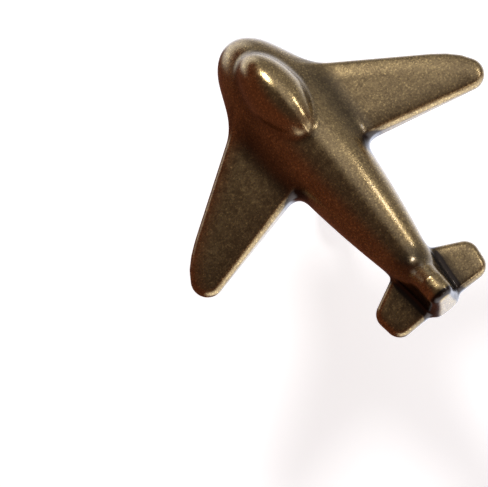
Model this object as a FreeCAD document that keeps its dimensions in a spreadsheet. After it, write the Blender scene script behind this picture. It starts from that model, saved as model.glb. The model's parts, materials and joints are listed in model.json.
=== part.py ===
import FreeCAD, Part
import os
import re
import Sketcher
from FreeCAD import Placement, Rotation, Vector

# Aeroplane-shaped cabinet knob: one die casting with a tapped boss, its M4 screw and washer.
# Millimetres. The origin is the centre of the boss's base face, which sits on the drawer
# front. +Z points out of the drawer front, the nose points along -Y and the port wing
# along +X. The screw comes up through the drawer front, which is not part of the knob.

SIZES = {
    # fuselage
    "axis_height": 15.0,
    "fuselage_radius": 8.4,
    "nose_length": 14.4,
    "nose_reach": 24.4,
    "taper_start": 2.0,
    "tail_reach": 41.6,
    "tail_radius": 1.7,
    "taper_level_pull": 0.3,
    "taper_tail_pull": 0.38,
    "taper_tail_lift": 3.6,
    # wings: outline of one wing, seen from above
    "wing_lead_root": -17.25,
    "wing_trail_root": 5.4,
    "wing_tip_front_x": 29.4,
    "wing_tip_front_y": 6.2,
    "wing_tip_rear_x": 31.6,
    "wing_tip_rear_y": 9.3,
    "wing_tip_radius": 3.3,
    "wing_thickness": 4.6,
    "wing_rim": 1.6,
    "wing_drop": 0.0,
    "wing_droop": 3.0,
    # tailplane: outline of one half, seen from above
    "tail_lead_root": 29.05,
    "tail_trail_root": 41.3,
    "tail_tip_front_x": 8.8,
    "tail_tip_front_y": 36.4,
    "tail_tip_rear_x": 8.5,
    "tail_tip_rear_y": 38.6,
    "tail_tip_radius": 2.8,
    "tailplane_thickness": 3.6,
    "tailplane_rim": 1.3,
    "tailplane_drop": 0.8,
    # fin: a wedge from its base to its ridge
    "fin_base_rear": 42.4,
    "fin_base_drop": 3.0,
    "fin_ridge_rise": 9.0,
    "fin_base_front": 27.0,
    "fin_ridge_front": 36.2,
    "fin_ridge_rear": 40.9,
    "fin_base_width": 6.2,
    "fin_ridge_width": 4.2,
    "fin_rim": 1.8,
    # canopy
    "canopy_y": -7.8,
    "canopy_rise": 5.0,
    "canopy_half_width": 5.6,
    "canopy_half_length": 11.0,
    "canopy_half_height": 7.0,
    # boss and its tapped hole
    "boss_base_radius": 5.75,
    "boss_root_radius": 6.5,
    "boss_length": 9.0,
    "bore_radius": 2.05,
    "bore_depth": 9.5,
    # screw and washer, with the drawer front that they clamp
    "front_thickness": 18.0,
    "washer_thickness": 0.8,
    "washer_radius": 4.5,
    "washer_hole_radius": 2.15,
    "seat_gap": 0.05,
    "screw_radius": 2.0,
    "screw_length": 25.0,
    "screw_tip_chamfer": 0.4,
    "head_radius": 4.0,
    "head_height": 3.1,
    "head_round": 1.5,
    "recess_span": 4.4,
    "recess_slot": 1.0,
    "recess_depth": 2.0,
    "recess_taper": 12.0,
}

QUARTER_TURN = 1.5707963267948966

doc = FreeCAD.newDocument("plane_knob")
sheet = doc.addObject("Spreadsheet::Sheet", "Sizes")
for row, (alias, value) in enumerate(SIZES.items(), start=1):
    sheet.set(f"A{row}", alias)
    sheet.set(f"B{row}", str(value))
    sheet.setAlias(f"B{row}", alias)
doc.recompute()


def cell(alias):
    """The value of one cell, for geometry that is laid out before its constraints."""
    return float(sheet.get(alias))


def bind(obj, **expressions):
    """Bind properties to the sheet; each word that is an alias is read from there."""
    for prop, text in expressions.items():
        bind_path(obj, prop, text)


def bind_path(obj, path, text):
    from_sheet = re.sub(
        r"[a-z_]+", lambda word: f"Sizes.{word[0]}" if word[0] in SIZES else word[0], text
    )
    obj.setExpression(path, from_sheet)


def new_body(name):
    body = doc.addObject("PartDesign::Body", name)
    body.Label = name
    return body


def origin_plane(body, role):
    return next(item for item in body.Origin.OriginFeatures if item.Role == role)


def new_sketch(body, name, role):
    sketch = body.newObject("Sketcher::SketchObject", name)
    sketch.AttachmentSupport = [(origin_plane(body, role), "")]
    sketch.MapMode = "FlatFace"
    return sketch


def constrain(sketch, text, *args):
    """Add a driving constraint whose value comes from the sheet."""
    index = sketch.addConstraint(Sketcher.Constraint(*args))
    name = f"size_{index}"
    sketch.renameConstraint(index, name)
    bind_path(sketch, f"Constraints.{name}", text)


def circle(sketch, alias):
    """A circle about the sketch's origin."""
    index = sketch.addGeometry(Part.Circle(Vector(), Vector(0, 0, 1), cell(alias)))
    sketch.addConstraint(Sketcher.Constraint("Coincident", index, 3, -1, 1))
    constrain(sketch, alias, "Radius", index, cell(alias))


def closed_polygon(sketch, points):
    """Lines through the points and back to the first, joined end to end."""
    count = len(points)
    lines = []
    for start, end in zip(points, points[1:] + points[:1]):
        lines.append(sketch.addGeometry(Part.LineSegment(Vector(*start, 0), Vector(*end, 0))))
    for index in range(count):
        sketch.addConstraint(
            Sketcher.Constraint("Coincident", lines[index], 2, lines[(index + 1) % count], 1)
        )
    return lines


def tangent_point(root, centre, radius, side):
    """Where the line from root touches the circle; side picks the left or the right one."""
    reach = centre - root
    along = (reach.Length**2 - radius**2) ** 0.5
    direction = reach.normalize()
    across = Vector(-direction.y, direction.x, 0)
    length = (along**2 + radius**2) ** 0.5
    return root + direction * (along * along / length) + across * (side * along * radius / length)


def surface_outline(sketch, part):
    """Half of a flying surface: straight leading and trailing edges and a rounded tip."""
    radius = cell(f"{part}_tip_radius")
    front = Vector(cell(f"{part}_tip_front_x"), cell(f"{part}_tip_front_y"), 0)
    rear = Vector(cell(f"{part}_tip_rear_x"), cell(f"{part}_tip_rear_y"), 0)
    lead_root = Vector(0, cell(f"{part}_lead_root"), 0)
    trail_root = Vector(0, cell(f"{part}_trail_root"), 0)
    along_tip = (rear - front).normalize()
    outward = Vector(along_tip.y, -along_tip.x, 0)
    lead_end = tangent_point(lead_root, Vector(front), radius, -1)
    trail_end = tangent_point(trail_root, Vector(rear), radius, 1)
    front_end = front + outward * radius
    rear_end = rear + outward * radius

    def corner(centre, start, end):
        bisector = (start - centre).normalize() + (end - centre).normalize()
        middle = centre + bisector.normalize() * radius
        return sketch.addGeometry(Part.Arc(start, middle, end))

    lead = sketch.addGeometry(Part.LineSegment(lead_root, lead_end))
    front_arc = corner(front, lead_end, front_end)
    tip = sketch.addGeometry(Part.LineSegment(front_end, rear_end))
    rear_arc = corner(rear, rear_end, trail_end)
    trail = sketch.addGeometry(Part.LineSegment(trail_end, trail_root))
    root = sketch.addGeometry(Part.LineSegment(trail_root, lead_root))

    for first, second in ((lead, front_arc), (front_arc, tip), (tip, rear_arc), (rear_arc, trail)):
        sketch.addConstraint(Sketcher.Constraint("Tangent", first, 2, second, 1))
    sketch.addConstraint(Sketcher.Constraint("Coincident", trail, 2, root, 1))
    sketch.addConstraint(Sketcher.Constraint("Coincident", root, 2, lead, 1))
    sketch.addConstraint(Sketcher.Constraint("PointOnObject", root, 1, -2))
    sketch.addConstraint(Sketcher.Constraint("PointOnObject", root, 2, -2))
    for arc, corner_name, centre in ((front_arc, "front", front), (rear_arc, "rear", rear)):
        constrain(sketch, f"{part}_tip_radius", "Radius", arc, radius)
        constrain(sketch, f"{part}_tip_{corner_name}_x", "DistanceX", -1, 1, arc, 3, centre.x)
        constrain(sketch, f"{part}_tip_{corner_name}_y", "DistanceY", -1, 1, arc, 3, centre.y)
    constrain(sketch, f"{part}_lead_root", "DistanceY", -1, 1, lead, 1, lead_root.y)
    constrain(sketch, f"{part}_trail_root", "DistanceY", -1, 1, trail, 2, trail_root.y)


def rim_edges(shape):
    """Names of the edges around the outline's top and bottom, without those at the root."""
    names = []
    for index, edge in enumerate(shape.Edges, start=1):
        box = edge.BoundBox
        at_root = box.XMax < 1.0
        between_faces = box.ZLength > 0.9 * edge.Length
        if not at_root and not between_faces:
            names.append(f"Edge{index}")
    return names


def flying_surface(part, name, thickness, rim, drop, tilt):
    """The port wing or half tailplane, rounded at its rim, and its starboard mirror image.

    Its outline lies level, or tilts down towards its tip by the angle in the tilt cell.
    """
    body = new_body(f"{name}_port")
    outline = new_sketch(body, f"{part}_outline", "XY_Plane")
    bind_path(outline, "AttachmentOffset.Base.z", f"axis_height - {drop}")
    if tilt:
        offset = Placement(outline.AttachmentOffset.Base, Rotation(Vector(0, 1, 0), cell(tilt)))
        outline.AttachmentOffset = offset
        bind_path(outline, "AttachmentOffset.Rotation.Angle", f"{tilt} * 1 deg")
    surface_outline(outline, part)
    pad = body.newObject("PartDesign::Pad", f"{part}_slab")
    pad.Profile = outline
    pad.SideType = "Symmetric"
    bind(pad, Length=thickness)
    doc.recompute()
    rounded = body.newObject("PartDesign::Fillet", f"{part}_rim_round")
    rounded.Base = (pad, rim_edges(pad.Shape))
    bind(rounded, Radius=rim)
    body.Tip = rounded
    doc.recompute()
    starboard = doc.addObject("Part::Mirroring", f"{name}_starboard")
    starboard.Source = body
    starboard.Normal = Vector(1, 0, 0)
    return [body, starboard]


def make_fuselage():
    """A body of revolution: an elliptical nose, a round middle and a slow taper to the tail."""
    body = new_body("fuselage")
    profile = new_sketch(body, "fuselage_profile", "YZ_Plane")
    bind_path(profile, "AttachmentOffset.Base.y", "axis_height")
    radius = cell("fuselage_radius")
    nose_tip = Vector(-cell("nose_reach"), 0, 0)
    nose_centre = Vector(cell("nose_length") - cell("nose_reach"), 0, 0)
    shoulder = nose_centre + Vector(0, radius, 0)
    taper_start = Vector(cell("taper_start"), radius, 0)
    tail_top = Vector(cell("tail_reach"), cell("tail_radius"), 0)
    tail_foot = Vector(cell("tail_reach"), 0, 0)
    span = cell("tail_reach") - cell("taper_start")
    level_pull = Vector(cell("taper_level_pull") * span, 0, 0)
    tail_pull = Vector(-cell("taper_tail_pull") * span, cell("taper_tail_lift"), 0)

    keel = nose_centre - Vector(0, radius, 0)
    ellipse = Part.Ellipse(nose_tip, keel, nose_centre)
    nose = profile.addGeometry(Part.ArcOfEllipse(ellipse, 3 * QUARTER_TURN, 4 * QUARTER_TURN))
    middle = profile.addGeometry(Part.LineSegment(shoulder, taper_start))
    curve = Part.BSplineCurve()
    curve.buildFromPoles(
        [taper_start, taper_start + level_pull, tail_top + tail_pull, tail_top], False, 3
    )
    taper = profile.addGeometry(curve)
    end = profile.addGeometry(Part.LineSegment(tail_top, tail_foot))
    axis = profile.addGeometry(Part.LineSegment(tail_foot, nose_tip))
    for link in (
        (nose, 1, middle, 1),
        (middle, 2, taper, 1),
        (taper, 2, end, 1),
        (end, 2, axis, 1),
        (axis, 2, nose, 2),
    ):
        profile.addConstraint(Sketcher.Constraint("Coincident", *link))
    profile.addConstraint(Sketcher.Constraint("PointOnObject", nose, 3, -1))
    profile.addConstraint(Sketcher.Constraint("PointOnObject", axis, 1, -1))
    profile.addConstraint(Sketcher.Constraint("PointOnObject", axis, 2, -1))
    profile.addConstraint(Sketcher.Constraint("Vertical", nose, 3, middle, 1))
    profile.addConstraint(Sketcher.Constraint("Horizontal", middle))
    profile.addConstraint(Sketcher.Constraint("Vertical", end))
    constrain(profile, "-nose_reach", "DistanceX", -1, 1, axis, 2, nose_tip.x)
    constrain(profile, "nose_length", "DistanceX", axis, 2, middle, 1, cell("nose_length"))
    constrain(profile, "fuselage_radius", "DistanceY", -1, 1, middle, 1, radius)
    constrain(profile, "taper_start", "DistanceX", -1, 1, middle, 2, taper_start.x)
    constrain(profile, "tail_reach", "DistanceX", -1, 1, end, 1, tail_top.x)
    constrain(profile, "tail_radius", "DistanceY", -1, 1, end, 1, tail_top.y)
    turned = body.newObject("PartDesign::Revolution", "fuselage_turned")
    turned.Profile = profile
    turned.ReferenceAxis = (profile, ["H_Axis"])
    turned.Angle = 360
    body.Tip = turned
    return [body]


def make_fin():
    """A low fin: a wedge that narrows to a ridge and leans forward at its rear face."""
    wedge = doc.addObject("Part::Wedge", "fin_wedge")
    bind(
        wedge,
        Xmin="-fin_base_width / 2",
        Xmax="fin_base_width / 2",
        X2min="-fin_ridge_width / 2",
        X2max="fin_ridge_width / 2",
        Ymin="-fin_base_drop",
        Ymax="fin_ridge_rise",
        Zmin="-fin_base_rear",
        Zmax="-fin_base_front",
        Z2min="-fin_ridge_rear",
        Z2max="-fin_ridge_front",
    )
    wedge.Placement = Placement(Vector(0, 0, cell("axis_height")), Rotation(Vector(1, 0, 0), 90))
    bind_path(wedge, "Placement.Base.z", "axis_height")
    doc.recompute()
    fin = doc.addObject("Part::Fillet", "fin")
    fin.Base = wedge
    rim = cell("fin_rim")
    fin.Edges = [(index, rim, rim) for index in range(1, len(wedge.Shape.Edges) + 1)]
    return fin


def make_casting():
    """The one die-cast piece, with its boss and the hole for the screw."""
    parts = make_fuselage()
    parts += flying_surface("wing", "wing", "wing_thickness", "wing_rim", "wing_drop", "wing_droop")
    parts += flying_surface(
        "tail", "tailplane", "tailplane_thickness", "tailplane_rim", "tailplane_drop", None
    )
    parts.append(make_fin())
    canopy = doc.addObject("Part::Ellipsoid", "canopy")
    bind(
        canopy,
        Radius1="canopy_half_height",
        Radius2="canopy_half_width",
        Radius3="canopy_half_length",
    )
    canopy.Angle1 = -90
    bind_path(canopy, "Placement.Base.y", "canopy_y")
    bind_path(canopy, "Placement.Base.z", "axis_height + canopy_rise")
    boss = doc.addObject("Part::Cone", "boss")
    bind(boss, Radius1="boss_base_radius", Radius2="boss_root_radius", Height="boss_length")
    parts += [canopy, boss]

    whole = doc.addObject("Part::MultiFuse", "solid_casting")
    whole.Shapes = parts
    whole.Refine = True
    bore = doc.addObject("Part::Cylinder", "bore")
    bind(bore, Radius="bore_radius", Height="bore_depth")
    casting = doc.addObject("Part::Cut", "plane_casting")
    casting.Base = whole
    casting.Tool = bore
    casting.Label = "plane_casting"
    casting.Placement = Placement()
    return casting


def make_washer():
    body = new_body("flat_washer")
    ring = new_sketch(body, "washer_ring", "XY_Plane")
    circle(ring, "washer_radius")
    circle(ring, "washer_hole_radius")
    pad = body.newObject("PartDesign::Pad", "washer_disc")
    pad.Profile = ring
    bind(pad, Length="washer_thickness")
    body.Tip = pad
    bind_path(body, "Placement.Base.z", "-( front_thickness + washer_thickness )")
    return body


def make_screw():
    """An M4 pan-head screw, drawn from its head's seat upward, with a cross recess."""
    body = new_body("mounting_screw")
    head_disc = new_sketch(body, "head_disc", "XY_Plane")
    circle(head_disc, "head_radius")
    head = body.newObject("PartDesign::Pad", "head")
    head.Profile = head_disc
    head.Reversed = True
    bind(head, Length="head_height")
    doc.recompute()
    crown = body.newObject("PartDesign::Fillet", "head_crown")
    crown.Base = (head, [lowest_edge(head.Shape)])
    bind(crown, Radius="head_round")
    doc.recompute()
    shank_disc = new_sketch(body, "shank_disc", "XY_Plane")
    circle(shank_disc, "screw_radius")
    shank = body.newObject("PartDesign::Pad", "shank")
    shank.Profile = shank_disc
    bind(shank, Length="screw_length")
    doc.recompute()
    point = body.newObject("PartDesign::Chamfer", "shank_point")
    point.Base = (shank, [highest_edge(shank.Shape)])
    bind(point, Size="screw_tip_chamfer")
    doc.recompute()
    before = point.Shape.Volume
    recess = body.newObject("PartDesign::Pocket", "cross_recess")
    recess.Profile = cross_sketch(body)
    recess.Reversed = True
    bind(recess, Length="recess_depth", TaperAngle="-recess_taper * 1 deg")
    body.Tip = recess
    doc.recompute()
    if recess.Shape.Volume > before - 1.0:
        raise SystemExit("the cross recess cut nothing")
    seat = "-( front_thickness + washer_thickness + seat_gap )"
    bind_path(body, "Placement.Base.z", seat)
    return body


def cross_sketch(body):
    """A cross of two slots on the head's outer face."""
    sketch = new_sketch(body, "cross", "XY_Plane")
    bind_path(sketch, "AttachmentOffset.Base.z", "-head_height")
    long_half = cell("recess_span") / 2
    slot_half = cell("recess_slot") / 2
    arm = [(long_half, -slot_half), (long_half, slot_half), (slot_half, slot_half)]
    points = []
    for turn in range(4):
        for x, y in arm:
            for _ in range(turn):
                x, y = -y, x
            points.append((x, y))
    lines = closed_polygon(sketch, points)
    for number, (x, y) in enumerate(points):
        x_text = signed_half("recess_span" if abs(x) > slot_half else "recess_slot", x)
        y_text = signed_half("recess_span" if abs(y) > slot_half else "recess_slot", y)
        constrain(sketch, x_text, "DistanceX", -1, 1, lines[number], 1, x)
        constrain(sketch, y_text, "DistanceY", -1, 1, lines[number], 1, y)
    return sketch


def signed_half(alias, value):
    return f"{'-1' if value < 0 else '1'} * {alias} / 2"


def lowest_edge(shape):
    return edge_at(shape, min)


def highest_edge(shape):
    return edge_at(shape, max)


def edge_at(shape, pick):
    """The name of the round edge at the bottom or the top of a turned shape."""
    flat = [
        (edge.BoundBox.Center.z, index)
        for index, edge in enumerate(shape.Edges, start=1)
        if edge.BoundBox.ZLength < 0.001
    ]
    return f"Edge{pick(flat)[1]}"


nodes = [make_casting(), make_washer(), make_screw()]
doc.recompute()

for item in doc.Objects:
    if "Invalid" in item.State or "Error" in item.State:
        raise SystemExit(f"{item.Name} did not compute: {item.State}")
for node in nodes:
    if node.Shape.isNull() or not node.Shape.isValid() or len(node.Shape.Solids) != 1:
        raise SystemExit(f"{node.Label} is not one valid solid")

os.makedirs("parts", exist_ok=True)
for node in nodes:
    node.Shape.exportStep(f"parts/{node.Label}.step")
    box = node.Shape.BoundBox
    print(
        f"{node.Label}: {node.Shape.Volume:.0f} mm3,"
        f" x {box.XMin:.2f} to {box.XMax:.2f},"
        f" y {box.YMin:.2f} to {box.YMax:.2f},"
        f" z {box.ZMin:.2f} to {box.ZMax:.2f}"
    )
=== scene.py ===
import itertools
import json
import math

import bpy
import numpy as np
from mathutils import Matrix, Vector


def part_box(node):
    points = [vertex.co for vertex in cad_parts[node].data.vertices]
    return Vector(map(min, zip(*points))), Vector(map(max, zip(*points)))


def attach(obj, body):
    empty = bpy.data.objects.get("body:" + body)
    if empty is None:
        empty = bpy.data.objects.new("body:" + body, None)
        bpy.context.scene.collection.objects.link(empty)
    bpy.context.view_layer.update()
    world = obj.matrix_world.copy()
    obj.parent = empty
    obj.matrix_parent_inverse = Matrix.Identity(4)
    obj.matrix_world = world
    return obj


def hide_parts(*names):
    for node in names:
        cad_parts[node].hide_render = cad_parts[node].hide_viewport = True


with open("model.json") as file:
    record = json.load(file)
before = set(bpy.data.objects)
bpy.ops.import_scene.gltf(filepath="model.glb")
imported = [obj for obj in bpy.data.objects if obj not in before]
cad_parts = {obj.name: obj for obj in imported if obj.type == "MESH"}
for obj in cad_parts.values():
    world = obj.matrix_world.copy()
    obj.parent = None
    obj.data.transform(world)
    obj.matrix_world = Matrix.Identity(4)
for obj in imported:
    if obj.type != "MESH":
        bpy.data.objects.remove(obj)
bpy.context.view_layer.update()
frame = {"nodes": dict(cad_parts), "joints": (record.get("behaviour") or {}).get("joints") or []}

# Aeroplane-shaped cabinet knob. The casting and the screw's head are modelled as signed
# distance fields in millimetres, turned into meshes, and scaled to metres at the end. The
# frame is the CAD's: origin at the boss's base, +Z through the canopy, -Y to the nose, and
# so +X to port.
MM = 0.001

# fuselage; the two limits say how far past nose and tail its formulas are followed
AXIS_HEIGHT = 15.0
NOSE_Y = -24.4
NOSE_LENGTH = 14.4
NOSE_LIMIT = 1.6
TAIL_Y = 42.3
TAIL_LIMIT = 1.3
WIDTH_RADIUS = 8.4
HEIGHT_RADIUS = 8.22
TAPER_START = 2.0
TAPER_END_SHARE = 0.2
TAPER_POWER = 1.54

# rear face, which leans forward between two heights
REAR_FACE_Y = 42.75
REAR_FACE_LEAN = 1.5
REAR_FACE_LEAN_HEIGHTS = (12.0, 24.0)
REAR_FACE_ROUND = 2.2

# wings and tailplane: centres of the rounded outline, seen from above, for the port side;
# each thins between two distances from the middle
WING_CENTRES = [
    (0.0, -13.3), (26.9, 4.5), (29.0, 6.1), (30.6, 7.7), (31.6, 9.3), (0.0, 2.0),
]
WING_ROUND = 3.3
WING_ROOT_HEIGHT = 15.0
WING_DROOP = math.radians(3.0)
WING_HALF_ROOT = 3.3
WING_HALF_TIP = 2.0
WING_THINNING = (8.0, 34.0)
WING_RIM = 1.15
WING_PILLOW = 0.85
WING_PILLOW_WIDTH = 4.2
TAILPLANE_CENTRES = [(0.0, 32.15), (8.8, 36.4), (8.5, 38.6), (0.0, 38.5)]
TAILPLANE_ROUND = 2.8
TAILPLANE_HEIGHT = 14.2
TAILPLANE_DROOP = math.radians(2.0)
TAILPLANE_HALF_ROOT = 2.2
TAILPLANE_HALF_TIP = 1.6
TAILPLANE_THINNING = (2.0, 11.0)
TAILPLANE_RIM = 1.05
TAILPLANE_PILLOW = 0.5
TAILPLANE_PILLOW_WIDTH = 2.6

# fin, in side view as (y, z)
FIN_PROFILE = [
    (30.0, 16.5), (34.3, 21.3), (36.8, 23.0), (45.0, 24.6), (45.0, 12.0), (30.0, 12.0),
]
FIN_BASE_HEIGHT = 13.0
FIN_RIDGE_HEIGHT = 22.5
FIN_HALF_BASE = 3.3
FIN_HALF_RIDGE = 2.5
FIN_FLARE = 1.2
FIN_RIM = 2.3

CANOPY_CENTRE = (0.0, -7.8, 20.0)
CANOPY_RADII = (5.6, 11.0, 7.0)
CANOPY_TAPER = 0.2

# boss and screw hole
BOSS_HEIGHT = 9.0
BOSS_BASE_RADIUS = 5.75
BOSS_ROOT_RADIUS = 6.5
BOSS_EDGE = 0.35
BORE_RADIUS = 2.05
BORE_DEPTH = 9.5
BORE_MOUTH = 0.3

# fillets between the casting's parts; the wing's goes from lead to trail along y
WING_LEAD_FILLET = 5.0
WING_TRAIL_FILLET = 3.4
WING_FILLET_SPAN = (-16.0, 4.0)
TAIL_FILLET = 0.8
FIN_FILLET = 3.0
CANOPY_FILLET = 0.9
BOSS_FILLET = 2.0
BASE_ROUND = 0.2

# screw
SCREW_RADIUS = 2.0
THREAD_PITCH = 0.7
THREAD_DEPTH = 0.42
THREAD_FLANK = (0.06, 0.88)
THREAD_RUNOUT = 1.0
THREAD_ROWS = 14
THREAD_COLUMNS = 56
TIP_CHAMFER = 0.4
SHANK_SUNK = 0.4
HEAD_RADIUS = 4.0
HEAD_HEIGHT = 3.1
HEAD_ROUND = 1.5
HEAD_SEAT_ROUND = 0.12

# cross recess: it narrows by the draft with depth, times a share for each of its sides
RECESS_DEPTH = 2.0
RECESS_DRAFT = math.tan(math.radians(12.0))
RECESS_HALF_SPAN = 2.2
RECESS_SPAN_DRAFT = 2.2
RECESS_HALF_SLOT = 0.5
RECESS_SLOT_DRAFT = 0.5
RECESS_CORE_RADIUS = 1.15
RECESS_CORE_DRAFT = 1.2
RECESS_ARM_ROUND = 0.15
RECESS_ARM_FILLET = 0.35
RECESS_CORE_FILLET = 0.2
RECESS_FLOOR_ROUND = 0.2
RECESS_LIP_ROUND = 0.12

# meshing: grid steps, the room left around each shape, and the pull onto the surface
CASTING_STEP = 0.34
CASTING_MARGIN = 1.5
HEAD_STEP = 0.12
HEAD_MARGIN = 0.5
NUDGE = 0.02
FUSELAGE_LEAST_SLOPE = 0.04
SURFACE_PULLS = 3
PULL_LEAST_STEEPNESS = 0.1

# how far out of the casting the soot and painted shade of creases and hollows look, and how deep
# into it the edge wear looks
CREASE_REACH = 1.2
HOLLOW_REACH = 4.0
EDGE_REACH = 1.4


# ---------------------------------------------------------------- signed distance fields

def smooth_min(a, b, blend):
    share = np.clip(0.5 + 0.5 * (b - a) / blend, 0, 1)
    return b * (1 - share) + a * share - blend * share * (1 - share)


def smooth_max(a, b, blend):
    return -smooth_min(-a, -b, blend)


def ramp(value, start, end):
    """0 before start, 1 after end, and even in between."""
    return np.clip((value - start) / (end - start), 0, 1)


def polygon_distance(x, y, corners):
    """Signed distance in the plane to a closed polygon, negative inside."""
    nearest = np.full(np.broadcast(x, y).shape, np.inf)
    sign = np.ones(nearest.shape)
    for (ax, ay), (bx, by) in zip(corners, corners[-1:] + corners[:-1]):
        edge_x, edge_y = bx - ax, by - ay
        to_x, to_y = x - ax, y - ay
        along = (to_x * edge_x + to_y * edge_y) / (edge_x**2 + edge_y**2)
        along = np.clip(along, 0, 1)
        gap = (to_x - edge_x * along) ** 2 + (to_y - edge_y * along) ** 2
        nearest = np.minimum(nearest, gap)
        above_a, below_b = y >= ay, y < by
        left = edge_x * to_y > edge_y * to_x
        crossed = (above_a & below_b & left) | (~above_a & ~below_b & ~left)
        sign = np.where(crossed, -sign, sign)
    return sign * np.sqrt(nearest)


def rounded_slab(outline, across, rim):
    """A slab from the distance to its outline and to its flat faces, rounded at its rim."""
    a, b = outline + rim, across + rim
    outside = np.hypot(np.maximum(a, 0), np.maximum(b, 0))
    return np.minimum(np.maximum(a, b), 0) + outside - rim


def ellipsoid(x, y, z, centre, radii):
    px, py, pz = x - centre[0], y - centre[1], z - centre[2]
    rx, ry, rz = radii
    scaled = np.sqrt((px / rx) ** 2 + (py / ry) ** 2 + (pz / rz) ** 2)
    slope = np.sqrt((px / rx**2) ** 2 + (py / ry**2) ** 2 + (pz / rz**2) ** 2)
    return scaled * (scaled - 1) / np.maximum(slope, 1e-6)


def fuselage_shape(x, y, z):
    """Zero on the surface of the round body: an elliptical nose and a slow taper aft."""
    nose = np.clip((NOSE_Y + NOSE_LENGTH - y) / NOSE_LENGTH, 0, NOSE_LIMIT)
    aft = np.clip((y - TAPER_START) / (TAIL_Y - TAPER_START), 0, TAIL_LIMIT)
    taper = 1 - (1 - TAPER_END_SHARE) * aft**TAPER_POWER
    across = (x / (WIDTH_RADIUS * taper)) ** 2
    upright = ((z - AXIS_HEIGHT) / (HEIGHT_RADIUS * taper)) ** 2
    return np.sqrt(across + upright + nose**2) - 1


def fuselage(x, y, z):
    """The round body's shape over its slope, which is close to a distance."""
    here = fuselage_shape(x, y, z)
    slope_x = (fuselage_shape(x + NUDGE, y, z) - here) / NUDGE
    slope_y = (fuselage_shape(x, y + NUDGE, z) - here) / NUDGE
    slope_z = (fuselage_shape(x, y, z + NUDGE) - here) / NUDGE
    slope = np.sqrt(slope_x**2 + slope_y**2 + slope_z**2)
    return here / np.maximum(slope, FUSELAGE_LEAST_SLOPE)


def wings(x, y, z):
    out = np.abs(x)
    outline = polygon_distance(out, y, WING_CENTRES) - WING_ROUND
    middle = WING_ROOT_HEIGHT - out * math.tan(WING_DROOP)
    thinning = ramp(out, *WING_THINNING)
    half = WING_HALF_ROOT + (WING_HALF_TIP - WING_HALF_ROOT) * thinning
    half = half - WING_PILLOW * (1 - ramp(-outline, 0, WING_PILLOW_WIDTH)) ** 2
    return rounded_slab(outline, np.abs(z - middle) - half, WING_RIM)


def tailplane(x, y, z):
    out = np.abs(x)
    outline = polygon_distance(out, y, TAILPLANE_CENTRES) - TAILPLANE_ROUND
    middle = TAILPLANE_HEIGHT - out * math.tan(TAILPLANE_DROOP)
    thinning = ramp(out, *TAILPLANE_THINNING)
    half = TAILPLANE_HALF_ROOT + (TAILPLANE_HALF_TIP - TAILPLANE_HALF_ROOT) * thinning
    half = half - TAILPLANE_PILLOW * (1 - ramp(-outline, 0, TAILPLANE_PILLOW_WIDTH)) ** 2
    return rounded_slab(outline, np.abs(z - middle) - half, TAILPLANE_RIM)


def fin(x, y, z):
    outline = polygon_distance(y, z, FIN_PROFILE)
    drop = 1 - ramp(z, FIN_BASE_HEIGHT, FIN_RIDGE_HEIGHT)
    half = FIN_HALF_RIDGE + (FIN_HALF_BASE - FIN_HALF_RIDGE) * drop**FIN_FLARE
    return rounded_slab(outline, np.abs(x) - half, FIN_RIM)


def canopy(x, y, z):
    """A teardrop, narrower aft."""
    aft = ramp(y, CANOPY_CENTRE[1], CANOPY_CENTRE[1] + CANOPY_RADII[1])
    return ellipsoid(x / (1 - CANOPY_TAPER * aft), y, z, CANOPY_CENTRE, CANOPY_RADII)


def boss(x, y, z):
    """A tapered post from the base up to the fuselage's axis."""
    around = np.hypot(x, y)
    radius = BOSS_BASE_RADIUS + (BOSS_ROOT_RADIUS - BOSS_BASE_RADIUS) * z / BOSS_HEIGHT
    across = np.abs(z - AXIS_HEIGHT / 2) - AXIS_HEIGHT / 2
    return rounded_slab(around - radius, across, BOSS_EDGE)


def bore(x, y, z):
    around = np.hypot(x, y)
    mouth = BORE_MOUTH * (1 - ramp(z, 0, 2 * BORE_MOUTH))
    return np.maximum(around - BORE_RADIUS - mouth, z - BORE_DEPTH)


def casting(x, y, z):
    """The whole casting, in millimetres. The rear face is cut after the fin is blended in."""
    shape = smooth_min(fuselage(x, y, z), fin(x, y, z), FIN_FILLET)
    rear_face = REAR_FACE_Y - REAR_FACE_LEAN * ramp(z, *REAR_FACE_LEAN_HEIGHTS)
    shape = smooth_max(shape, y - rear_face, REAR_FACE_ROUND)
    shape = smooth_min(shape, boss(x, y, z), BOSS_FILLET)
    aft = ramp(y, *WING_FILLET_SPAN)
    blend = WING_LEAD_FILLET + (WING_TRAIL_FILLET - WING_LEAD_FILLET) * aft
    shape = smooth_min(shape, wings(x, y, z), blend)
    shape = smooth_min(shape, tailplane(x, y, z), TAIL_FILLET)
    shape = smooth_min(shape, canopy(x, y, z), CANOPY_FILLET)
    shape = smooth_max(shape, -z, BASE_ROUND)
    return np.maximum(shape, -bore(x, y, z))


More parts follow.
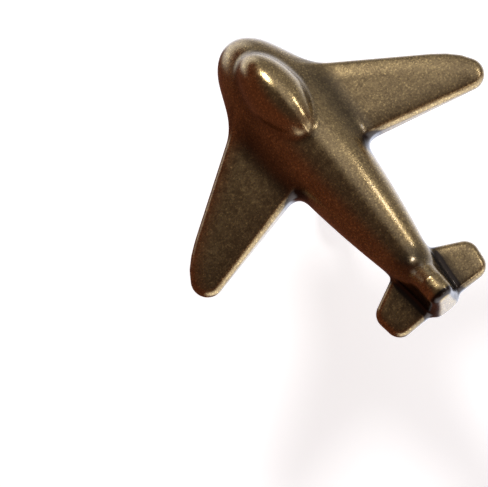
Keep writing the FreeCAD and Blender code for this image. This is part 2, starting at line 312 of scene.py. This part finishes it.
def screw_head(x, y, z):
    """The pan head, from its seat at z = 0 down, less its cross recess."""
    around = np.hypot(x, y)
    middle = -HEAD_HEIGHT / 2
    across = np.abs(z - middle) - HEAD_HEIGHT / 2
    crown = rounded_slab(around - HEAD_RADIUS, across, HEAD_ROUND)
    flat = rounded_slab(around - HEAD_RADIUS, across, HEAD_SEAT_ROUND)
    head = np.where(z < middle, crown, flat)
    depth = z + HEAD_HEIGHT
    draft = RECESS_DRAFT * depth
    long_side = RECESS_HALF_SPAN - RECESS_SPAN_DRAFT * draft
    slot_side = RECESS_HALF_SLOT - RECESS_SLOT_DRAFT * draft
    arm_x = smooth_max(np.abs(x) - long_side, np.abs(y) - slot_side, RECESS_ARM_ROUND)
    arm_y = smooth_max(np.abs(y) - long_side, np.abs(x) - slot_side, RECESS_ARM_ROUND)
    core = around - RECESS_CORE_RADIUS + RECESS_CORE_DRAFT * draft
    cross = smooth_min(arm_x, arm_y, RECESS_ARM_FILLET)
    cross = smooth_min(cross, core, RECESS_CORE_FILLET)
    recess = smooth_max(cross, depth - RECESS_DEPTH, RECESS_FLOOR_ROUND)
    return smooth_max(head, -recess, RECESS_LIP_ROUND)


# ---------------------------------------------------------------- fields into meshes

CELL_CORNERS = np.array(list(itertools.product((0, 1), repeat=3)))


def slopes(field, points):
    """The field's gradient at each point."""
    found = np.empty_like(points)
    for axis in range(3):
        step = np.zeros(3)
        step[axis] = NUDGE
        ahead = field(*(points + step).T)
        behind = field(*(points - step).T)
        found[:, axis] = (ahead - behind) / (2 * NUDGE)
    return found


def surface_cells(values):
    """One vertex in each grid cell that the surface crosses, in grid units.

    Returned with an array that holds each crossed cell's place in that list, or -1.
    """
    inside = values < 0
    nx, ny, nz = np.array(values.shape) - 1
    count = sum(
        inside[i : i + nx, j : j + ny, k : k + nz].astype(np.int8) for i, j, k in CELL_CORNERS
    )
    crossed = (count > 0) & (count < len(CELL_CORNERS))
    cells = np.argwhere(crossed)
    index = np.full(crossed.shape, -1)
    index[crossed] = np.arange(len(cells))
    total = np.zeros((len(cells), 3))
    hits = np.zeros(len(cells))
    for a, b in itertools.combinations(CELL_CORNERS, 2):
        if np.abs(a - b).sum() != 1:
            continue
        value_a = values[tuple((cells + a).T)]
        value_b = values[tuple((cells + b).T)]
        cut = (value_a < 0) != (value_b < 0)
        share = value_a[cut] / (value_a[cut] - value_b[cut])
        total[cut] += a + share[:, None] * (b - a)
        hits[cut] += 1
    return cells + total / hits[:, None], index


def surface_quads(values, index):
    """A quad around each grid edge that the surface crosses, facing outward."""
    quads = []
    for axis in range(3):
        turned = (axis, (axis + 1) % 3, (axis + 2) % 3)
        inside = np.moveaxis(values < 0, turned, (0, 1, 2))
        cell = np.moveaxis(index, turned, (0, 1, 2))
        low, high = inside[:-1, 1:-1, 1:-1], inside[1:, 1:-1, 1:-1]
        ring = [cell[:, :-1, :-1], cell[:, 1:, :-1], cell[:, 1:, 1:], cell[:, :-1, 1:]]
        for leaving, order in ((low & ~high, ring), (~low & high, ring[::-1])):
            quads.append(np.stack([corner[leaving] for corner in order], axis=1))
    return np.concatenate(quads)


def mesh_points(field, low, high, step):
    """Vertices on the field's zero surface and the quads between them."""
    counts = np.ceil((np.array(high) - low) / step).astype(int) + 1
    axes = [low[axis] + step * np.arange(counts[axis]) for axis in range(3)]
    values = field(*np.meshgrid(*axes, indexing="ij"))
    points, index = surface_cells(values)
    points = np.array(low) + step * points
    for _ in range(SURFACE_PULLS):
        slope = slopes(field, points)
        steep = np.maximum((slope**2).sum(1), PULL_LEAST_STEEPNESS)
        move = -field(*points.T)[:, None] * slope / steep[:, None]
        points += np.clip(move, -step / 2, step / 2)
    return points, surface_quads(values, index)


def new_piece(name, points, faces, material, body):
    """A smooth mesh object from points in millimetres, riding on a body."""
    mesh = bpy.data.meshes.new(name)
    mesh.from_pydata((points * MM).tolist(), [], faces.tolist())
    mesh.validate()
    mesh.shade_smooth()
    mesh.materials.append(material)
    piece = bpy.data.objects.new(name, mesh)
    bpy.context.scene.collection.objects.link(piece)
    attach(piece, body)
    return piece


def store(piece, name, values):
    """Keep a value between 0 and 1 on each vertex, for a material to read."""
    attribute = piece.data.attributes.new(name, "FLOAT", "POINT")
    attribute.data.foreach_set("value", np.clip(values, 0, 1).astype(np.float32))


# ---------------------------------------------------------------- materials

# most of a noise's values lie in this range
NOISE_RANGE = (0.3, 0.7)

# antique brass: noise scales per metre, with their detail and roughness
CLOUD_NOISE = (150.0, 3.0, 0.55)
MOTTLE_NOISE = (900.0, 3.0, 0.6)
GRAIN_NOISE = (3000.0, 2.0, 0.6)

# its colours, from the soot and painted shade in the hollows to the bare metal on the edges
SOOT_AND_SHADE_BLACK = (0.03, 0.022, 0.016)
PATINA_DARK = (0.2, 0.138, 0.066)
PATINA_BRASS = (0.44, 0.325, 0.155)
RUBBED_BRIGHT = (0.84, 0.63, 0.27)

# what each noise adds to the brass in the patina
CLOUD_PATINA = (0.3, 0.6)
MOTTLE_PATINA = (-0.15, 0.15)
GRAIN_PATINA = (-0.5, 0.5)

# where the patina is rubbed through, and how far
FLECK_RANGE, FLECK_SHARE = (0.6, 0.72), (0.0, 0.8)
EDGE_RANGE, EDGE_SHARE = (0.15, 0.7), (0.0, 0.75)

# where soot and painted shade darken the creases and hollows, and how strongly
CREASE_RANGE, CREASE_SHARE = (0.02, 0.22), (0.0, 0.9)
HOLLOW_RANGE, HOLLOW_SHARE = (0.02, 0.32), (0.0, 0.6)

# heights in metres: the tops are rubbed and smoother, and the low parts get less soot and
# painted shade
TOP_HEIGHTS = (0.0222, 0.0255)
TOP_RUB = 0.08
TOP_POLISH = 0.06
SOOT_AND_SHADE_HEIGHTS, SOOT_AND_SHADE_SHARE = (0.0115, 0.0145), (0.2, 1.0)

BRASS_ROUGHNESS = (0.23, 0.31)
BRASS_BUMP_STRENGTH, BRASS_BUMP_DEPTH = 0.3, 0.00006
COAT_WEIGHT, COAT_ROUGHNESS = 0.35, 0.12

# zinc plate
ZINC_DETAIL, ZINC_NOISE_ROUGHNESS = 4.0, 0.55
ZINC_FINE = 6
ZINC_BLUE = (0.62, 0.63, 0.66)
ZINC_PALE = (0.74, 0.74, 0.75)
ZINC_ROUGHNESS = (0.22, 0.36)
ZINC_BUMP_STRENGTH, ZINC_BUMP_DEPTH = 0.15, 0.00003


class Graph:
    """The nodes of a material or of the world, linked as they are made."""

    def __init__(self, tree):
        self.nodes, self.links = tree.nodes, tree.links

    def feed(self, socket, value):
        """Set a number or a colour on a socket, or link an output to it."""
        if isinstance(value, float):
            socket.default_value = value
        elif isinstance(value, tuple):
            socket.default_value = (*value, 1.0)
        else:
            self.links.new(value, socket)

    def fill(self, node, inputs):
        for name, value in inputs.items():
            self.feed(node.inputs[name], value)
        return node

    def coordinates(self, kind):
        return self.nodes.new("ShaderNodeTexCoord").outputs[kind]

    def axes(self, vector):
        """The vector's X, Y and Z."""
        node = self.fill(self.nodes.new("ShaderNodeSeparateXYZ"), {"Vector": vector})
        return [node.outputs[axis] for axis in "XYZ"]

    def noise(self, position, scale, detail, roughness):
        inputs = {
            "Vector": position, "Scale": scale, "Detail": detail, "Roughness": roughness,
        }
        return self.fill(self.nodes.new("ShaderNodeTexNoise"), inputs).outputs["Fac"]

    def spread(self, value, before, after=(0.0, 1.0)):
        """The value moved from one range to another, and kept inside that."""
        inputs = {
            "Value": value, "From Min": before[0], "From Max": before[1],
            "To Min": after[0], "To Max": after[1],
        }
        return self.fill(self.nodes.new("ShaderNodeMapRange"), inputs).outputs["Result"]

    def mix(self, share, first, second):
        """The first colour, with a share of the second laid over it."""
        node = self.nodes.new("ShaderNodeMix")
        node.data_type = "RGBA"
        return self.fill(node, {"Factor": share, "A": first, "B": second}).outputs["Result"]

    def arithmetic(self, operation, first, second):
        """A sum, difference or product, kept between 0 and 1."""
        node = self.nodes.new("ShaderNodeMath")
        node.operation = operation
        node.use_clamp = True
        for socket, value in zip(node.inputs, (first, second)):
            self.feed(socket, value)
        return node.outputs["Value"]

    def attribute(self, name):
        node = self.nodes.new("ShaderNodeAttribute")
        node.attribute_name = name
        return node.outputs["Fac"]

    def bump(self, height, strength, distance):
        inputs = {"Height": height, "Strength": strength, "Distance": distance}
        return self.fill(self.nodes.new("ShaderNodeBump"), inputs).outputs["Normal"]


def new_material(name):
    """A material, its graph and its shader node."""
    material = bpy.data.materials.new(name)
    material.use_nodes = True
    graph = Graph(material.node_tree)
    return material, graph, graph.nodes["Principled BSDF"]


def antique_brass():
    """Brass plate under a dark patina that is rubbed through on edges and grains."""
    material, graph, shader = new_material("antique_brass")
    position = graph.coordinates("Object")
    height = graph.axes(position)[2]
    top = graph.spread(height, TOP_HEIGHTS)
    cloud = graph.noise(position, *CLOUD_NOISE)
    mottle = graph.noise(position, *MOTTLE_NOISE)
    grain = graph.noise(position, *GRAIN_NOISE)

    patina = graph.spread(cloud, NOISE_RANGE, CLOUD_PATINA)
    for texture, share in ((mottle, MOTTLE_PATINA), (grain, GRAIN_PATINA)):
        patina = graph.arithmetic("ADD", patina, graph.spread(texture, NOISE_RANGE, share))
    colour = graph.mix(patina, PATINA_DARK, PATINA_BRASS)

    rubbed = graph.spread(grain, FLECK_RANGE, FLECK_SHARE)
    edge = graph.spread(graph.attribute("edge"), EDGE_RANGE, EDGE_SHARE)
    rubbed = graph.arithmetic("ADD", rubbed, edge)
    rubbed = graph.arithmetic("ADD", rubbed, graph.arithmetic("MULTIPLY", top, TOP_RUB))
    colour = graph.mix(rubbed, colour, RUBBED_BRIGHT)

    # soot and painted shade: creases and hollows darkened towards near-black, less on the low
    # parts
    allowed = graph.spread(height, SOOT_AND_SHADE_HEIGHTS, SOOT_AND_SHADE_SHARE)
    crease_soot_and_shade = graph.spread(graph.attribute("crease_soot_and_shade"), CREASE_RANGE, CREASE_SHARE)
    crease_soot_and_shade = graph.arithmetic("MULTIPLY", crease_soot_and_shade, allowed)
    hollow_soot_and_shade = graph.spread(graph.attribute("hollow_soot_and_shade"), HOLLOW_RANGE, HOLLOW_SHARE)
    hollow_soot_and_shade = graph.arithmetic("MULTIPLY", hollow_soot_and_shade, allowed)
    colour = graph.mix(graph.arithmetic("ADD", crease_soot_and_shade, hollow_soot_and_shade), colour, SOOT_AND_SHADE_BLACK)

    rough = graph.spread(mottle, NOISE_RANGE, BRASS_ROUGHNESS)
    polish = graph.arithmetic("MULTIPLY", top, TOP_POLISH)
    graph.fill(shader, {
        "Metallic": 1.0,
        "Coat Weight": COAT_WEIGHT,
        "Coat Roughness": COAT_ROUGHNESS,
        "Base Color": colour,
        "Roughness": graph.arithmetic("SUBTRACT", rough, polish),
        "Normal": graph.bump(grain, BRASS_BUMP_STRENGTH, BRASS_BUMP_DEPTH),
    })
    return material


def zinc_plate(name, scale):
    """Bright zinc plate with a faint blue cast and fine tool marks."""
    material, graph, shader = new_material(name)
    position = graph.coordinates("Object")
    cloud = graph.noise(position, scale, ZINC_DETAIL, ZINC_NOISE_ROUGHNESS)
    fine = graph.noise(position, scale * ZINC_FINE, ZINC_DETAIL, ZINC_NOISE_ROUGHNESS)
    graph.fill(shader, {
        "Metallic": 1.0,
        "Base Color": graph.mix(cloud, ZINC_BLUE, ZINC_PALE),
        "Roughness": graph.spread(fine, NOISE_RANGE, ZINC_ROUGHNESS),
        "Normal": graph.bump(fine, ZINC_BUMP_STRENGTH, ZINC_BUMP_DEPTH),
    })
    return material


# ---------------------------------------------------------------- pieces

def make_casting():
    low, high = (np.array(corner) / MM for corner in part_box("plane_casting"))
    points, quads = mesh_points(
        casting, low - CASTING_MARGIN, high + CASTING_MARGIN, CASTING_STEP
    )
    piece = new_piece("knob_casting", points, quads, antique_brass(), "knob")
    normal = slopes(casting, points)
    normal /= np.linalg.norm(normal, axis=1)[:, None]
    # how closed in each point is, which sets the soot and painted shade of creases and hollows,
    # and how much casting lies under it, which sets the edge wear
    for name, reach in (("crease_soot_and_shade", CREASE_REACH), ("hollow_soot_and_shade", HOLLOW_REACH)):
        store(piece, name, 1 - casting(*(points + reach * normal).T) / reach)
    store(piece, "edge", 1 + casting(*(points - EDGE_REACH * normal).T) / EDGE_REACH)
    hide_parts("plane_casting")


def thread_radius(turn, height, top):
    """The shank's radius at an angle and a height above the head's seat."""
    phase = (height / THREAD_PITCH - turn) % 1.0
    ridge = ramp(np.abs(phase - 0.5) * 2, *THREAD_FLANK)
    radius = SCREW_RADIUS - THREAD_DEPTH * (1 - ridge)
    plain = SCREW_RADIUS - THREAD_DEPTH / 2
    radius = plain + (radius - plain) * ramp(height, 0, THREAD_RUNOUT)
    return np.minimum(radius, SCREW_RADIUS - TIP_CHAMFER + (top - height))


def threaded_shank(length):
    """A closed right-hand threaded rod, from just inside the head up to its tip."""
    rows = int(round((length + SHANK_SUNK) / THREAD_PITCH * THREAD_ROWS))
    height = np.linspace(-SHANK_SUNK, length, rows + 1)
    turn = np.arange(THREAD_COLUMNS) / THREAD_COLUMNS
    height, turn = np.meshgrid(height, turn, indexing="ij")
    radius = thread_radius(turn, height, length)
    angle = 2 * math.pi * turn
    sides = np.stack([radius * np.cos(angle), radius * np.sin(angle), height], axis=-1)
    points = np.concatenate([sides.reshape(-1, 3), [[0, 0, -SHANK_SUNK], [0, 0, length]]])
    index = np.arange(sides.shape[0] * THREAD_COLUMNS).reshape(-1, THREAD_COLUMNS)
    after = np.roll(index, -1, axis=1)
    walls = np.stack([index[:-1], after[:-1], after[1:], index[1:]], axis=-1).reshape(-1, 4)
    foot, tip = len(points) - 2, len(points) - 1
    faces = walls.tolist()
    faces += [[foot, after[0, c], index[0, c]] for c in range(THREAD_COLUMNS)]
    faces += [[tip, index[-1, c], after[-1, c]] for c in range(THREAD_COLUMNS)]
    return points, faces


def make_screw():
    low, high = (np.array(corner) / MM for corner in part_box("mounting_screw"))
    seat = low[2] + HEAD_HEIGHT
    span = HEAD_RADIUS + HEAD_MARGIN
    head_low = np.array([-span, -span, -HEAD_HEIGHT - HEAD_MARGIN])
    head_high = np.array([span, span, HEAD_MARGIN])
    head_points, head_quads = mesh_points(screw_head, head_low, head_high, HEAD_STEP)
    shank_points, shank_faces = threaded_shank(high[2] - seat)
    points = np.concatenate([head_points, shank_points]) + [0, 0, seat]
    shift = len(head_points)
    faces = head_quads.tolist() + [[v + shift for v in face] for face in shank_faces]
    zinc = zinc_plate("zinc_plated_screw", 700.0)
    screw = new_piece(
        "threaded_screw", points, np.array(faces, dtype=object), zinc, "screw"
    )
    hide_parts("mounting_screw")


def finish_washer():
    """The CAD washer is kept, with a material of its own."""
    washer = frame["nodes"]["flat_washer"]
    washer.data.materials.clear()
    washer.data.materials.append(zinc_plate("zinc_plated_washer", 900.0))


# ---------------------------------------------------------------- stage, lights, camera

CAMERA_AT = Vector((30.2, 84.5, 328.9)) * MM
CAMERA_AIM = Vector((21.9, 8.49, 15.0)) * MM
CAMERA_ROLL = math.radians(-32.4)
CAMERA_LENS = 125.9
CAMERA_SENSOR = 36.0
CAMERA_CLIP = (0.01, 20.0)

# the floor lies just under the screw when that is furthest down
FLOOR_REACH = 3.0
FLOOR_GAP = 0.0002
FLOOR_GREY = (0.86, 0.86, 0.86)
FLOOR_ROUGHNESS = 0.9
FLOOR_GLOW = 0.62
WHITE = (1.0, 1.0, 1.0)

# the world's colours
DIM_TOP = (0.098, 0.07, 0.063)
DIM_SIDE = (0.17, 0.062, 0.04)
PALE_TOP = (0.72, 0.7, 0.76)
PALE_SIDE = (0.38, 0.36, 0.36)
PALE_BACK = (2.2, 2.25, 2.5)
PALE_LOW = (1.6, 1.68, 1.95)
BACKDROP = (0.8, 0.8, 0.8)

# where they meet, by the direction looked in: heights between side and top, and the edge
# of the pale starboard side, which weakens towards the tail
DIM_HEIGHTS = (0.5, 0.9)
PALE_HEIGHTS = (0.3, 0.8)
STARBOARD_X = (-0.16, -0.42)
STARBOARD_Y, STARBOARD_Y_SHARE = (0.08, 0.4), (1.0, 0.3)

# zones laid over that in turn, each where both of its axes have come in: low before the
# nose, behind the tail, and below to starboard
ZONES = (
    (PALE_LOW, ("Y", (-0.8, -0.95)), ("Z", (0.15, -0.1))),
    (PALE_BACK, ("Y", (0.5, 0.8)), ("Z", (0.45, 0.0))),
    (PALE_LOW, ("Z", (-0.2, -0.75)), ("X", (0.12, -0.05))),
)

# lights: direction from the aim, diameter in metres and power in watts
LIGHT_AIM = Vector((0, 0.008, 0.015))
LIGHT_DISTANCE = 0.65
LIGHTS = (
    ("key", (-0.22, -0.65, 0.73), 0.14, 1.6),
    ("starboard_box", (-0.84, 0.1, 0.53), 0.09, 0.28),
    ("starboard_low_box", (-0.84, 0.34, 0.42), 0.1, 0.24),
    ("back_box", (-0.26, 0.84, 0.47), 0.12, 0.16),
)


def make_camera():
    data = bpy.data.cameras.new("photo_camera")
    data.lens = CAMERA_LENS
    data.sensor_width = CAMERA_SENSOR
    data.clip_start, data.clip_end = CAMERA_CLIP
    camera = bpy.data.objects.new("photo_camera", data)
    bpy.context.scene.collection.objects.link(camera)
    look = (CAMERA_AIM - CAMERA_AT).to_track_quat("-Z", "Y").to_matrix()
    turned = look @ Matrix.Rotation(CAMERA_ROLL, 3, "Z")
    camera.matrix_world = Matrix.Translation(CAMERA_AT) @ turned.to_4x4()
    bpy.context.scene.camera = camera


def make_stage():
    """A pale floor that glows a little, and is clear from below and in reflections."""
    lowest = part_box("mounting_screw")[0].z
    slide = next(j for j in frame["joints"] if j["name"] == "washer_travel")
    height = lowest - slide["range_m"][1] - FLOOR_GAP
    signs = ((-1, -1), (1, -1), (1, 1), (-1, 1))
    corners = [(FLOOR_REACH * i, FLOOR_REACH * j, height) for i, j in signs]
    mesh = bpy.data.meshes.new("floor")
    mesh.from_pydata(corners, [], [(0, 1, 2, 3)])
    floor = bpy.data.objects.new("floor", mesh)
    bpy.context.scene.collection.objects.link(floor)
    floor.visible_glossy = False
    material, graph, shader = new_material("pale_floor")
    graph.fill(shader, {
        "Base Color": FLOOR_GREY,
        "Roughness": FLOOR_ROUGHNESS,
        "Emission Color": WHITE,
        "Emission Strength": FLOOR_GLOW,
    })
    sides = graph.nodes.new("ShaderNodeMixShader")
    below = graph.nodes.new("ShaderNodeNewGeometry").outputs["Backfacing"]
    clear = graph.nodes.new("ShaderNodeBsdfTransparent").outputs["BSDF"]
    for socket, value in zip(sides.inputs, (below, shader.outputs["BSDF"], clear)):
        graph.feed(socket, value)
    graph.feed(graph.nodes["Material Output"].inputs["Surface"], sides.outputs["Shader"])
    mesh.materials.append(material)


def make_world():
    """A studio that is pale to starboard, behind the tail and below, and dim elsewhere.

    The camera sees one even backdrop in its place.
    """
    world = bpy.data.worlds.new("studio")
    world.use_nodes = True
    graph = Graph(world.node_tree)
    toward = dict(zip("XYZ", graph.axes(graph.coordinates("Generated"))))
    dim = graph.mix(graph.spread(toward["Z"], DIM_HEIGHTS), DIM_SIDE, DIM_TOP)
    pale = graph.mix(graph.spread(toward["Z"], PALE_HEIGHTS), PALE_SIDE, PALE_TOP)
    starboard = graph.spread(toward["X"], STARBOARD_X)
    forward = graph.spread(toward["Y"], STARBOARD_Y, STARBOARD_Y_SHARE)
    colour = graph.mix(graph.arithmetic("MULTIPLY", starboard, forward), dim, pale)
    for zone, *edges in ZONES:
        first, second = (graph.spread(toward[axis], edge) for axis, edge in edges)
        colour = graph.mix(graph.arithmetic("MULTIPLY", first, second), colour, zone)
    seen = graph.nodes.new("ShaderNodeLightPath").outputs["Is Camera Ray"]
    colour = graph.mix(seen, colour, BACKDROP)
    graph.feed(graph.nodes["Background"].inputs["Color"], colour)
    bpy.context.scene.world = world


def make_lights():
    for name, direction, size, power in LIGHTS:
        data = bpy.data.lights.new(name, "AREA")
        data.shape = "DISK"
        data.size = size
        data.energy = power
        light = bpy.data.objects.new(name, data)
        bpy.context.scene.collection.objects.link(light)
        light.location = LIGHT_AIM + LIGHT_DISTANCE * Vector(direction)
        light.rotation_mode = "QUATERNION"
        light.rotation_quaternion = (-Vector(direction)).to_track_quat("-Z", "Y")


bpy.context.scene.view_settings.view_transform = "Standard"
make_camera()
make_casting()
make_screw()
finish_washer()
make_stage()
make_world()
make_lights()
